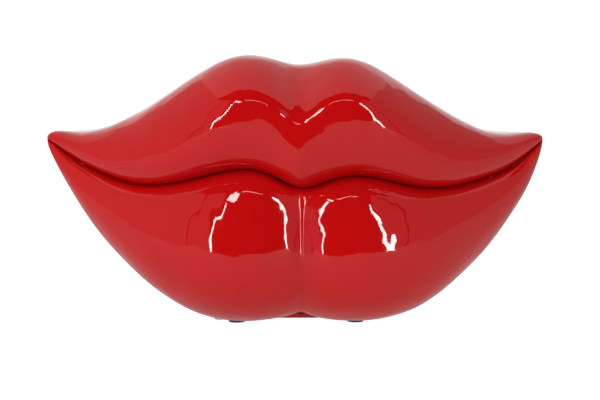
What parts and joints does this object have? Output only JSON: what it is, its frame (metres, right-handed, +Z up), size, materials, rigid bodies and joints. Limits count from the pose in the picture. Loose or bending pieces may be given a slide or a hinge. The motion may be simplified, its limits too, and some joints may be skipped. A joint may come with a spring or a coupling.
{
  "type": "novelty shaped telephone",
  "caption": "Glossy red corded telephone shaped as a pair of closed lips: the upper lip is the handset with a keypad beneath, and it lifts off the lower lip, the base.",
  "frame": {"origin": "on the table under the middle of the lips", "axes": "+X to the caller's right, -Y the front of the lips, +Z up"},
  "size_m": [0.219, 0.0895, 0.1171],
  "materials": {
    "lip_gloss": "high gloss lacquer",
    "red_satin": "satin",
    "key_cap": "satin",
    "rubber": "matte",
    "board": "solder mask",
    "steel": "zinc plated",
    "black_plastic": "satin",
    "brass": "satin"
  },
  "bodies": {
    "base": {"base_shell": "lip_gloss", "cradle_deck": "red_satin", "deck_screws": "steel", "hook_switch_body": "black_plastic", "base_circuit_board": "board", "board_screws": "steel", "board_components": "black_plastic", "ringer_housing": "black_plastic", "ringer_disc": "brass", "line_jack": "black_plastic", "handset_jack": "black_plastic", "ringer_switch_body": "black_plastic", "bottom_plate": "red_satin", "bottom_screws": "steel", "rubber_feet": "rubber", "ballast_weight": "steel", "hook_spring": "steel"},
    "handset": {"handset_shell": "lip_gloss", "handset_face_plate": "red_satin", "key_mat": "rubber", "handset_circuit_board": "board", "handset_board_screws": "steel", "handset_screws": "steel", "receiver_capsule": "black_plastic", "receiver_gasket": "rubber", "receiver_retainer": "steel", "microphone_boot": "rubber", "microphone_capsule": "steel", "handset_weight": "steel", "handset_weight_screws": "steel", "handset_cord_jack": "black_plastic", "tone_pulse_switch_body": "black_plastic"},
    "hook": {"hook_plunger": "black_plastic"},
    "ringer_slider": {"ringer_switch_slider": "black_plastic"},
    "tone_slider": {"tone_pulse_slider": "black_plastic"},
    "key_1_body": {"key_1": "key_cap"},
    "key_2_body": {"key_2": "key_cap"},
    "key_3_body": {"key_3": "key_cap"},
    "key_4_body": {"key_4": "key_cap"},
    "key_5_body": {"key_5": "key_cap"},
    "key_6_body": {"key_6": "key_cap"},
    "key_7_body": {"key_7": "key_cap"},
    "key_8_body": {"key_8": "key_cap"},
    "key_9_body": {"key_9": "key_cap"},
    "key_star_body": {"key_star": "key_cap"},
    "key_0_body": {"key_0": "key_cap"},
    "key_hash_body": {"key_hash": "key_cap"},
    "key_redial_body": {"key_redial": "key_cap"},
    "key_flash_body": {"key_flash": "key_cap"},
    "key_mute_body": {"key_mute": "key_cap"}
  },
  "joints": [
    {"name": "handset_lift", "type": "slide", "parent": "base", "child": "handset", "axis": [0, 0, 1], "range_m": [0, 0.1]},
    {"name": "hook_travel", "type": "slide", "parent": "base", "child": "hook", "axis": [0, 0, 1], "range_m": [0, 0.0045], "deforming": ["hook_spring"]},
    {"name": "ringer_switch_slide", "type": "slide", "parent": "base", "child": "ringer_slider", "axis": [1, 0, 0], "range_m": [-0.0024, 0.0024]},
    {"name": "tone_pulse_slide", "type": "slide", "parent": "handset", "child": "tone_slider", "axis": [1, 0, 0], "range_m": [-0.0024, 0.0024]},
    {"name": "key_1_press", "type": "slide", "parent": "handset", "child": "key_1_body", "axis": [0, -0.2079, 0.9781], "range_m": [0, 0.0012], "stiffness_N_per_m": 400, "springref_m": -0.0006},
    {"name": "key_2_press", "type": "slide", "parent": "handset", "child": "key_2_body", "axis": [0, -0.2079, 0.9781], "range_m": [0, 0.0012], "stiffness_N_per_m": 400, "springref_m": -0.0006},
    {"name": "key_3_press", "type": "slide", "parent": "handset", "child": "key_3_body", "axis": [0, -0.2079, 0.9781], "range_m": [0, 0.0012], "stiffness_N_per_m": 400, "springref_m": -0.0006},
    {"name": "key_4_press", "type": "slide", "parent": "handset", "child": "key_4_body", "axis": [0, -0.2079, 0.9781], "range_m": [0, 0.0012], "stiffness_N_per_m": 400, "springref_m": -0.0006},
    {"name": "key_5_press", "type": "slide", "parent": "handset", "child": "key_5_body", "axis": [0, -0.2079, 0.9781], "range_m": [0, 0.0012], "stiffness_N_per_m": 400, "springref_m": -0.0006},
    {"name": "key_6_press", "type": "slide", "parent": "handset", "child": "key_6_body", "axis": [0, -0.2079, 0.9781], "range_m": [0, 0.0012], "stiffness_N_per_m": 400, "springref_m": -0.0006},
    {"name": "key_7_press", "type": "slide", "parent": "handset", "child": "key_7_body", "axis": [0, -0.2079, 0.9781], "range_m": [0, 0.0012], "stiffness_N_per_m": 400, "springref_m": -0.0006},
    {"name": "key_8_press", "type": "slide", "parent": "handset", "child": "key_8_body", "axis": [0, -0.2079, 0.9781], "range_m": [0, 0.0012], "stiffness_N_per_m": 400, "springref_m": -0.0006},
    {"name": "key_9_press", "type": "slide", "parent": "handset", "child": "key_9_body", "axis": [0, -0.2079, 0.9781], "range_m": [0, 0.0012], "stiffness_N_per_m": 400, "springref_m": -0.0006},
    {"name": "key_star_press", "type": "slide", "parent": "handset", "child": "key_star_body", "axis": [0, -0.2079, 0.9781], "range_m": [0, 0.0012], "stiffness_N_per_m": 400, "springref_m": -0.0006},
    {"name": "key_0_press", "type": "slide", "parent": "handset", "child": "key_0_body", "axis": [0, -0.2079, 0.9781], "range_m": [0, 0.0012], "stiffness_N_per_m": 400, "springref_m": -0.0006},
    {"name": "key_hash_press", "type": "slide", "parent": "handset", "child": "key_hash_body", "axis": [0, -0.2079, 0.9781], "range_m": [0, 0.0012], "stiffness_N_per_m": 400, "springref_m": -0.0006},
    {"name": "key_redial_press", "type": "slide", "parent": "handset", "child": "key_redial_body", "axis": [0, -0.2079, 0.9781], "range_m": [0, 0.0012], "stiffness_N_per_m": 400, "springref_m": -0.0006},
    {"name": "key_flash_press", "type": "slide", "parent": "handset", "child": "key_flash_body", "axis": [0, -0.2079, 0.9781], "range_m": [0, 0.0012], "stiffness_N_per_m": 400, "springref_m": -0.0006},
    {"name": "key_mute_press", "type": "slide", "parent": "handset", "child": "key_mute_body", "axis": [0, -0.2079, 0.9781], "range_m": [0, 0.0012], "stiffness_N_per_m": 400, "springref_m": -0.0006}
  ],
  "couplings": [
    {"joint": "hook_travel", "follows": "handset_lift", "ratio": 0.045}
  ]
}
